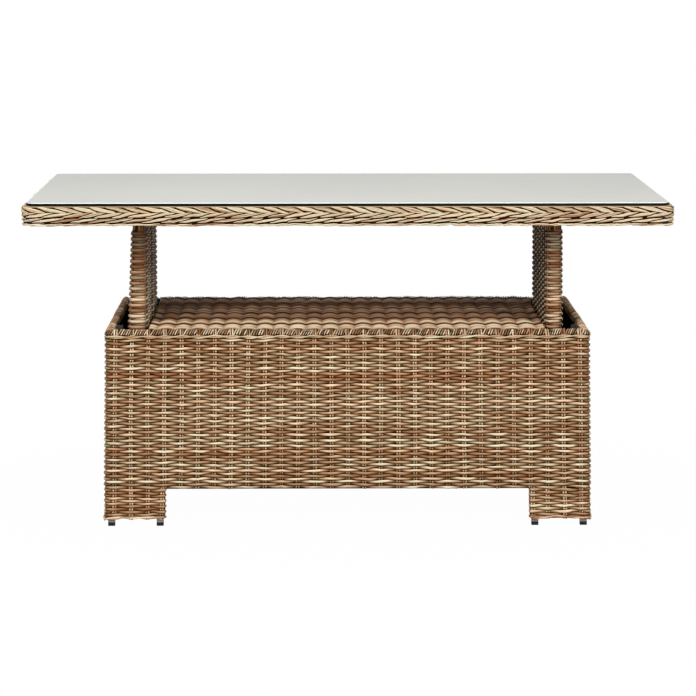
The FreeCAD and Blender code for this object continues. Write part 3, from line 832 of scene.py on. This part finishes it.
def stakePiece(side, gap, stakes, edge, length):
    s, low = wallStakes, wallWeave["low"]
    made = []
    runs = [(s["first"], stakes, low - s["drop"], s["high"], low)]
    lastRun = stakes - s["inLeg"] + s["first"]
    for begin, count in ((s["first"], s["inLeg"]), (s["legLast"], 1), (lastRun, s["inLeg"]),
                         (stakes - s["legLast"], 1)):
        runs.append((begin, count, s["legLow"], low, wallLegs["low"]))
    for begin, count, foot, head, row in runs:
        levels = (foot, (foot + head) / 2, head)
        made += stakePair(s["size"], levels, row, wallWeave["rowPitch"], begin * gap, count, gap)
    # One more where the rows turn in at the notch
    for spot in (edge - s["turnBack"], length - edge + s["turnBack"]):
        levels = (wallLegs["bottom"], s["turnMiddle"], low)
        line = [(spot, s["turnDepth"], level) for level in levels]
        made.append(newStrand("turn", line, s["turnWide"], s["turnThick"], across="x"))
    return joinAll(side + "WallStakes", made)


# Twisted pairs under the rim and under the legs

def bindingPiece(side, gap, edge, length):
    period = 2 * gap
    pair = pairTile(period, wallWeave["rimPair"])
    repeat(pair, math.ceil(length / period), (period, 0, 0), du=1, weld=True)
    pairs = [cutEnds(applyModifiers(pair), length)]
    reach = edge - wallLegs["pairShort"]
    for start in (0, length - reach):
        pair = pairTile(period, wallLegs["pair"], reach / period)
        shiftUv(pair, 0, len(pairs) * wallLegs["pairApart"])
        pairs.append(moveMesh(pair, (start, 0, 0)))
    return joinAll(side + "WallBinding", pairs)


# Strands over the rim: two straight ones at a stake, then five that lean along it

rimLash = {
    "cord": 0.0025, "knot": 0.0034, "knotSpot": 0.0026,
    "first": 0.0052, "pitch": 0.0055, "lean": 0.0085, "turns": 5, "outset": 0.0042,
    "line": [(0.0, 0.0008, 0.4250), (0.2, 0.0016, 0.4285), (0.45, 0.0042, 0.4325), (0.65, 0.0085, 0.4352),
             (0.8, 0.0130, 0.4350), (0.9, 0.0172, 0.4325), (1.0, 0.0188, 0.4275), (1.0, 0.0185, 0.4215)],
}


def rimPiece(side, gap, stakes, length):
    r = rimLash
    outset = 0.0 if side in wallWeave["longSides"] else r["outset"]
    cords = []
    spots = [(-r["knotSpot"], 0.0, r["knot"]), (r["knotSpot"], 0.0, r["knot"])]
    spots += [(r["first"] + r["pitch"] * k, r["lean"], r["cord"]) for k in range(r["turns"])]
    for number, (spot, lean, thick) in enumerate(spots):
        line = [(spot + lean * part, y - outset, z) for part, y, z in r["line"]]
        cord = newCord("lash", line, thick)
        shiftUv(cord, number, 0)
        cords.append(cord)
    rim = joinAll(side + "Rim", cords)
    moveMesh(rim, (-gap / 2, 0, 0))
    repeat(rim, stakes + 1, (gap, 0, 0), dv=1)
    return cutEnds(applyModifiers(rim), length)


def wallPiece(side, cage):
    w = wallWeave
    points = wallPoints(side)
    length = lengthOf(points)
    own = w["long"] if side in w["longSides"] else w["end"]
    stakes = own["stakes"]
    gap = length / stakes
    first = own["firstGap"] * gap
    edge = wallLegs["edge"] - (w["corner"] - math.pi * w["corner"] / 4)
    guide = guideLine(side + "Guide", points)
    rows = wallRows(gap, first, 0.0, length, w["low"], w["rows"], 0, w["rise"])
    liner = newLiner(side + "WallLiner", length, w["low"] - w["linerDrop"], w["linerHigh"], w["linerDepth"])
    rowSets = [(rows, guide, length)]
    linerSets = [(liner, guide, length)]
    for last in (False, True):
        legRows, legLiner, legGuide, legLength = legPiece(side, last, edge, gap, first, length)
        rowSets.append((legRows, legGuide, legLength))
        linerSets.append((legLiner, legGuide, legLength))
    stakeSet = [(stakePiece(side, gap, stakes, edge, length), guide, length)]
    bindingSet = [(bindingPiece(side, gap, edge, length), guide, length)]
    rimSet = [(rimPiece(side, gap, stakes, length), guide, length)]
    guides = [line for part, line, span in rowSets]
    dressed = []
    for name, sets, material in (("WallRows", rowSets, wallStrand), ("WallStakes", stakeSet, stakeStrand),
                                 ("WallBinding", bindingSet, bindStrand), ("Rim", rimSet, rimStrand),
                                 ("WallLiner", linerSets, shadowLiner)):
        for part, line, span in sets:
            if sets is not linerSets:
                calm = calmEnds(part, span)
                for strength, size, axis in w["wobbles"]:
                    wobble(part, strength, size, axis, calm)
                part.vertex_groups.clear()
            bendAlong(part, line)
        whole = sets[0][0] if len(sets) == 1 else joinAll(side + name, [part for part, line, span in sets])
        dressed.append((smooth(leanWith(whole, cage)), material))
    for line in guides:
        bpy.data.objects.remove(line)
    for part, material in dressed:
        dress(part, "base", "wicker", material, side + "_wall_weave")


# The base is a little longer at the floor than at the rim

def basePieces():
    w = wallWeave
    signs = (-1, 1, -1, 1, 1, -1, 1, -1)
    moves = {index: (sign * w["flare"], 0, 0) for index, sign in enumerate(signs)}
    cage = newCage("baseCage", w["cageLow"], w["cageHigh"], moves)
    for side in ("front", "right", "rear", "left"):
        wallPiece(side, cage)
    bpy.data.objects.remove(cage)


basePieces()


print("deck")
deckWeave = {
    "pitch": 0.0064, "gap": 0.037, "rise": 0.0038,
    "wide": 0.0056, "thick": 0.0036,
    "level": 0.4332, "steps": 10, "leftReach": 0.0025,
    "linerLevel": 0.4301, "linerThick": 0.0006,
    "ribWide": 0.0062, "ribThick": 0.0026, "ribDrop": 0.0004, "ribRound": 0.001,
}


def newSlab(name, size, place):
    bpy.ops.mesh.primitive_cube_add(size=1, location=place)
    slab = bpy.context.object
    slab.name = name
    slab.scale = size
    bpy.ops.object.transform_apply(location=True, rotation=True, scale=True)
    return slab


def deckPiece():
    d = deckWeave
    low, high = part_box("deck_weave")
    low.x -= d["leftReach"]
    size = high - low
    periods = round(size.x / (2 * d["gap"]))
    period = size.x / periods
    pairs = int(size.y / (2 * d["pitch"]))
    tiles = []
    for turn, shift in ((0, 0.0), (math.pi, d["pitch"])):
        line = [(x + low.x, low.y + d["pitch"] / 2 + shift, d["level"] - y)
                for x, y, z in waveLine(period, d["rise"], d["steps"], turn)]
        strand = newStrand("deckRow", line, d["wide"], d["thick"], across="y")
        shiftUv(strand, 0, 0.5 if shift else 0)
        tiles.append(strand)
    rows = joinAll("deckRows", tiles)
    repeat(rows, periods, (period, 0, 0), du=1, weld=True)
    repeat(rows, pairs, (0, 2 * d["pitch"], 0), dv=1)
    smooth(applyModifiers(rows))
    dress(rows, "base", "wicker", deckStrand, "deck_weave")
    middleX, middleY = (low.x + high.x) / 2, (low.y + high.y) / 2
    liner = newSlab("deckLiner", (size.x, size.y, d["linerThick"]), (middleX, middleY, d["linerLevel"]))
    dress(liner, "base", "wicker", shadowLiner, "deck_weave")
    # Ribs under the rows
    rib = newSlab("deckRibs", (d["ribWide"], size.y, d["ribThick"]),
                  (low.x, middleY, d["level"] - d["ribDrop"]))
    bevel = rib.modifiers.new("round", "BEVEL")
    bevel.width = d["ribRound"]
    repeat(rib, 2 * periods + 1, (period / 2, 0, 0))
    smooth(applyModifiers(rib))
    dress(rib, "base", "wicker", ribStrand, "deck_weave")


deckPiece()


print("lift panels")
panelWeave = {
    "centre": {"left": -0.4594, "right": 0.4575},
    "halfX": {"left": 0.0140, "right": 0.0156},
    "halfY": 0.2195, "corner": 0.0105,
    "room": {"left": (0.0034, 0.0044), "right": (0.0, 0.0034)},
    "roomReach": 0.048,
    "pitch": 0.0061, "thick": 0.0044, "slim": 0.15, "deepest": 0.0020, "steps": 4,
    "left": {"rise": 0.0016, "wide": 0.0088, "second": 0.62, "out": 0.0018},
    "right": {"rise": 0.0032, "wide": 0.0074, "second": 0.80, "out": 0.0014},
    "low": 0.4190, "rows": 38,
    "endGap": 0.0370, "sideStakes": 16,
    "stake": {"wide": 0.0040, "thick": 0.0022, "apart": 0.0046},
    "stakeMiddle": 0.53,
    "neckLow": 0.6485, "neckMiddle": 0.666, "neckHigh": 0.6760, "neckLap": 0.004,
    "neckGap": 0.0062, "neckBow": 0.0004, "neckWide": 0.0060, "neckThick": 0.0026,
    "linerDepth": 0.0040,
    "lean": {"left": (-0.0084, 0.0045), "right": (0.0005, 0.0030)},
    "skew": {"left": (-0.0018, -0.0018), "right": (0.0030, 0.0015)},
    "cageHalf": (0.02, 0.3), "cageLow": 0.416,
}


# Once round a panel, with room for the gas spring half way along its long faces

def panelPoints(side, centre, half=4):
    p = panelWeave
    r, x, y = p["corner"], p["halfX"][side] - p["corner"], p["halfY"] - p["corner"]
    back = 270 - math.degrees((p["endGap"] / 2 - x) / r)
    inner, outer = p["room"][side]
    higher, lower = (inner, outer) if side == "left" else (outer, inner)
    turn = math.pi / (2 * half)
    swell = [(p["roomReach"] * k / half, math.cos(turn * k) ** 2) for k in range(-half, half + 1)]
    points = arcPoints(centre - x, -y, r, back, 270, 6) + arcPoints(centre + x, -y, r, 270, 360, 8)
    points += [(centre + x + r + higher * size, spot) for spot, size in swell]
    points += arcPoints(centre + x, y, r, 0, 90, 8) + arcPoints(centre - x, y, r, 90, 180, 8)
    points += [(centre - x - r - lower * size, -spot) for spot, size in swell]
    return points + arcPoints(centre - x, -y, r, 180, back, 3)


# Stakes stand close on the long faces of a panel, with one wide gap round each end

def panelStops(length):
    p = panelWeave
    sideGap = (length / 2 - p["endGap"]) / (p["sideStakes"] - 1)
    stops = [0.0]
    for number in range(2 * p["sideStakes"]):
        stops.append(stops[-1] + (sideGap if number % p["sideStakes"] else p["endGap"]))
    return stops


# One row right round a panel, with U counting pairs of stakes

def panelRow(stops, turn, level, rise, wide, out):
    p = panelWeave
    line, taper = [], []
    for i in range(p["steps"] * (len(stops) - 1) + 1):
        swing = math.cos(math.pi * i / p["steps"] + turn)
        spot = float(np.interp(i / p["steps"], range(len(stops)), stops))
        line.append((spot, min(-rise * swing - out, p["deepest"]), level))
        taper.append(1 - p["slim"] * (0.5 - 0.5 * swing) ** 2)
    strand = newStrand("panelRow", line, wide * taper[0], p["thick"] * taper[0], taper=taper)
    layer = strand.data.uv_layers["UVMap"]
    halves = [number / 2 for number in range(len(stops))]
    for loop in strand.data.loops:
        place = layer.data[loop.index]
        along = strand.data.vertices[loop.vertex_index].co.x
        place.uv = (np.interp(along, stops, halves), place.uv[1])
    return strand


def panelRows(side, stops):
    p = panelWeave
    own = p[side]
    second = own["wide"] * own["second"]
    over = panelRow(stops, 0, p["low"], own["rise"], own["wide"], own["out"])
    under = panelRow(stops, math.pi, p["low"] + p["pitch"], own["rise"], second, -own["out"])
    shiftUv(under, 0, 0.5)
    rows = joinAll(side + "PanelRows", [over, under])
    repeat(rows, p["rows"] // 2, (0, 0, 2 * p["pitch"]), dv=1)
    return applyModifiers(rows)


def panelStakes(side, stops):
    p = panelWeave
    count, gap = p["sideStakes"], stops[2] - stops[1]
    levels = (p["low"], p["stakeMiddle"], p["neckLow"])
    made = []
    for begin in (stops[1], stops[count + 1]):
        made += stakePair(p["stake"], levels, p["low"], p["pitch"], begin, count, gap)
    return joinAll(side + "PanelStakes", made)


# Upright strands side by side under the top

def panelNeck(side, length):
    p = panelWeave
    bow = p["neckBow"]
    line = [(0, bow, p["neckLow"] - p["neckLap"]), (0, -bow, p["neckMiddle"]), (0, bow, p["neckHigh"])]
    neck = newStrand("neck", line, p["neckWide"], p["neckThick"], across="x")
    count = round(length / p["neckGap"])
    repeat(neck, count, (length / count, 0, 0), dv=1)
    applyModifiers(neck).name = side + "PanelNeck"
    return neck


# The front end of the outer face leans in towards the top, and the rear end is a little skewed

def panelCage(side, centre):
    p = panelWeave
    low, high = p["lean"][side]
    sign = 1 if side == "right" else -1
    corners = (1, 5) if side == "right" else (0, 4)
    moves = {index: (-sign * (low if index < 4 else high), 0, 0) for index in corners}
    for index in (2, 3, 6, 7):
        moves[index] = (p["skew"][side][index // 4], 0, 0)
    halfX, halfY = p["cageHalf"]
    foot, head = (centre - halfX, -halfY, p["cageLow"]), (centre + halfX, halfY, p["neckHigh"])
    return newCage("panelCage", foot, head, moves)


def panelPiece(side):
    p = panelWeave
    centre = p["centre"][side]
    points = panelPoints(side, centre)
    length = lengthOf(points)
    stops = panelStops(length)
    rows = panelRows(side, stops)
    uprights = panelStakes(side, stops)
    neck = panelNeck(side, length)
    liner = newLiner(side + "PanelLiner", length, p["low"], p["neckHigh"], p["linerDepth"])
    cage = panelCage(side, centre)
    guide = guideLine(side + "PanelGuide", points)
    # The left panel's stakes take the darker rib finish, as painted shade between its rows
    stakeLook = stakeStrand if side == "right" else ribStrand
    pieces = ((rows, panelStrand), (uprights, stakeLook), (neck, neckStrand), (liner, panelShadeLiner))
    for part, material in pieces:
        bendAlong(part, guide)
        leanWith(part, cage)
        smooth(part)
        dress(part, "lifting_top", "wicker", material, side + "_panel_weave")
    bpy.data.objects.remove(guide)
    bpy.data.objects.remove(cage)


for side in ("left", "right"):
    panelPiece(side)


print("apron")
apronBraid = {
    "halfX": 0.6997, "halfY": 0.3998, "corner": 0.0235, "thick": 0.0040,
    "inset": (0.0016, 0.0010),
    "cageLow": (-0.71, -0.41, 0.668), "cageHigh": (0.71, 0.41, 0.718),
    "steps": 7, "overlap": 0.88, "fan": 0.2, "tip": 0.25,
    "tuck": 0.0024, "tuckPower": 0.8, "stagger": 3,
    "wobbles": [(0.0048, 0.024, "Z"), (0.0200, 0.045, "X")],
    "linerLow": 0.6755, "linerHigh": 0.7135, "linerDepth": 0.0027,
    "bands": [
        {"level": 0.7078, "lean": -0.0120, "length": 0.056, "period": 0.037, "strands": 3, "wide": 0.0030},
        {"level": 0.6968, "lean": 0.0100, "length": 0.060, "period": 0.037, "strands": 3, "wide": 0.0024},
        {"level": 0.6854, "lean": 0.0084, "length": 0.062, "period": 0.039, "strands": 2, "wide": 0.0028},
        {"level": 0.6760, "lean": 0.0048, "length": 0.066, "period": 0.035, "strands": 1, "wide": 0.0034},
    ],
}


# One leaning strand, tucked in and thinned at both ends

def braidStrandOf(b, number):
    a = apronBraid
    aside = (number - (b["strands"] - 1) / 2) * b["wide"] * a["overlap"]
    line, taper = [], []
    for i in range(a["steps"] + 1):
        t = i / a["steps"]
        bulge = math.sin(math.pi * t)
        high = b["level"] + b["lean"] * (t - 0.5) + aside * (a["fan"] + (1 - a["fan"]) * bulge)
        line.append(((t - 0.5) * b["length"], a["tuck"] - a["tuck"] * bulge ** a["tuckPower"], high))
        taper.append(a["tip"] + (1 - a["tip"]) * bulge)
    return newStrand("braid", line, b["wide"] * taper[0], a["thick"] * taper[0], taper=taper, caps=True)


def apronPiece():
    a = apronBraid
    x, y, r = a["halfX"] - a["corner"], a["halfY"] - a["corner"], a["corner"]
    points = [(0, a["halfY"])]
    for cx, cy, start in ((-x, y, 90), (-x, -y, 180), (x, -y, 270), (x, y, 0)):
        points += arcPoints(cx, cy, r, start, start + 90, 10)
    length = lengthOf(points, closed=True)
    bands = []
    for number, b in enumerate(a["bands"]):
        group = []
        for k in range(b["strands"]):
            strand = braidStrandOf(b, k)
            shiftUv(strand, 0, 2 * number + 0.5 * k)
            group.append(strand)
        band = joinAll("band", group)
        moveMesh(band, (b["length"] / 2 + number * b["period"] / a["stagger"], 0, 0))
        count = round(length / b["period"])
        repeat(band, count, (length / count, 0, 0), du=1)
        bands.append(applyModifiers(band))
    braid = joinAll("apronBraid", bands)
    for strength, size, axis in a["wobbles"]:
        wobble(braid, strength, size, axis)
    liner = newLiner("apronLiner", length, a["linerLow"], a["linerHigh"], a["linerDepth"])
    guide = guideLine("apronGuide", points, closed=True)
    # The lower edge is drawn in a little
    inX, inY = a["inset"]
    cage = newCage("apronCage", a["cageLow"], a["cageHigh"],
                   {0: (inX, inY, 0), 1: (-inX, inY, 0), 2: (inX, -inY, 0), 3: (-inX, -inY, 0)})
    for part in (braid, liner):
        bendAlong(part, guide)
        leanWith(part, cage)
        smooth(part)
    bpy.data.objects.remove(guide)
    bpy.data.objects.remove(cage)
    sides = ("apron_front", "apron_rear", "apron_left", "apron_right")
    dress(braid, "lifting_top", "wicker", braidStrand, *sides)
    dress(liner, "lifting_top", "wicker", shadowLiner, *sides)


apronPiece()


print("studio")
studio = {
    "lens": 152.1, "sensor": 36,
    "place": (-0.070, -6.663, 1.2984),
    "pitch": 0.1409, "yaw": -0.0111, "farthest": 60,
    "floorSize": 40, "floorLevel": -0.0005, "floorGrey": (0.6, 0.6, 0.6, 1),
    "shadeFrom": 0.5, "shadeTo": 1.6, "shade": 0.985, "air": 0.13,
    "lamps": [
        {"name": "keyLeft", "place": (-2.2, -3.8, 2.9), "size": (1.5, 2.6), "power": 150, "aim": 0.35},
        {"name": "keyRight", "place": (2.4, -3.8, 2.8), "size": (1.5, 2.6), "power": 130, "aim": 0.35},
        {"name": "over", "place": (0.0, -0.1, 3.6), "size": (3.0, 3.0), "power": 45, "aim": 0.5},
        {"name": "rear", "place": (0.0, 4.2, 0.28), "size": (3.0, 0.3), "power": 42, "aim": 0.28},
    ],
}


def placeCamera():
    s = studio
    bpy.ops.object.camera_add(location=s["place"], rotation=(math.pi / 2 - s["pitch"], 0, s["yaw"]))
    camera = bpy.context.object
    camera.data.lens = s["lens"]
    camera.data.sensor_width = s["sensor"]
    camera.data.clip_end = s["farthest"]
    bpy.context.scene.camera = camera


# Clean white far out, with the shadow kept round the feet

def layFloor():
    s = studio
    bpy.ops.mesh.primitive_plane_add(size=s["floorSize"], location=(0, 0, s["floorLevel"]))
    floor = bpy.context.object
    floor.name = "floor"
    material, wire, shader = startMaterial("floorPaint", Roughness=0.9, Base_Color=s["floorGrey"])
    seen = wire.node("LightPath", out="Is Camera Ray")
    spot = wire.node("TexCoord", out="Object")
    away = wire.node("VectorMath", {"operation": "LENGTH"}, {0: spot}, "Value")
    far = wire.node("MapRange", {"interpolation_type": "SMOOTHSTEP"},
                    {0: away, 1: s["shadeFrom"], 2: s["shadeTo"], 3: s["shade"], 4: 1.0})
    glow = wire.node("Emission", (), {"Color": (1, 1, 1, 1), "Strength": 1.0})
    paint = Wire(wire.tree, shader.outputs[0])
    mixed = wire.node("MixShader", (), {0: seen * far, 1: paint, 2: glow})
    plug(mixed, wire.tree.nodes["Material Output"], 0)
    floor.data.materials.append(material)


# White where the camera or a reflection sees it, and dim as a light

def fillAir():
    world = bpy.data.worlds.new("studioWorld")
    bpy.context.scene.world = world
    world.use_nodes = True
    air = Wire(world.node_tree)
    seen = air.node("LightPath", out="Is Camera Ray")
    shiny = air.node("LightPath", out="Is Glossy Ray")
    background = world.node_tree.nodes["Background"]
    background.inputs[0].default_value = (1, 1, 1, 1)
    strength = seen.larger(shiny) * (1 - studio["air"]) + studio["air"]
    plug(strength, background, 1)


def hangLamps():
    for item in studio["lamps"]:
        bpy.ops.object.light_add(type="AREA", location=item["place"])
        lamp = bpy.context.object
        lamp.name = item["name"]
        lamp.data.shape = "RECTANGLE"
        lamp.data.size, lamp.data.size_y = item["size"]
        lamp.data.energy = item["power"]
        ahead = Vector((0, 0, item["aim"])) - Vector(item["place"])
        lamp.rotation_euler = ahead.to_track_quat("-Z", "Y").to_euler()


placeCamera()
layFloor()
fillAir()
hangLamps()
bpy.context.scene.view_settings.view_transform = "Standard"
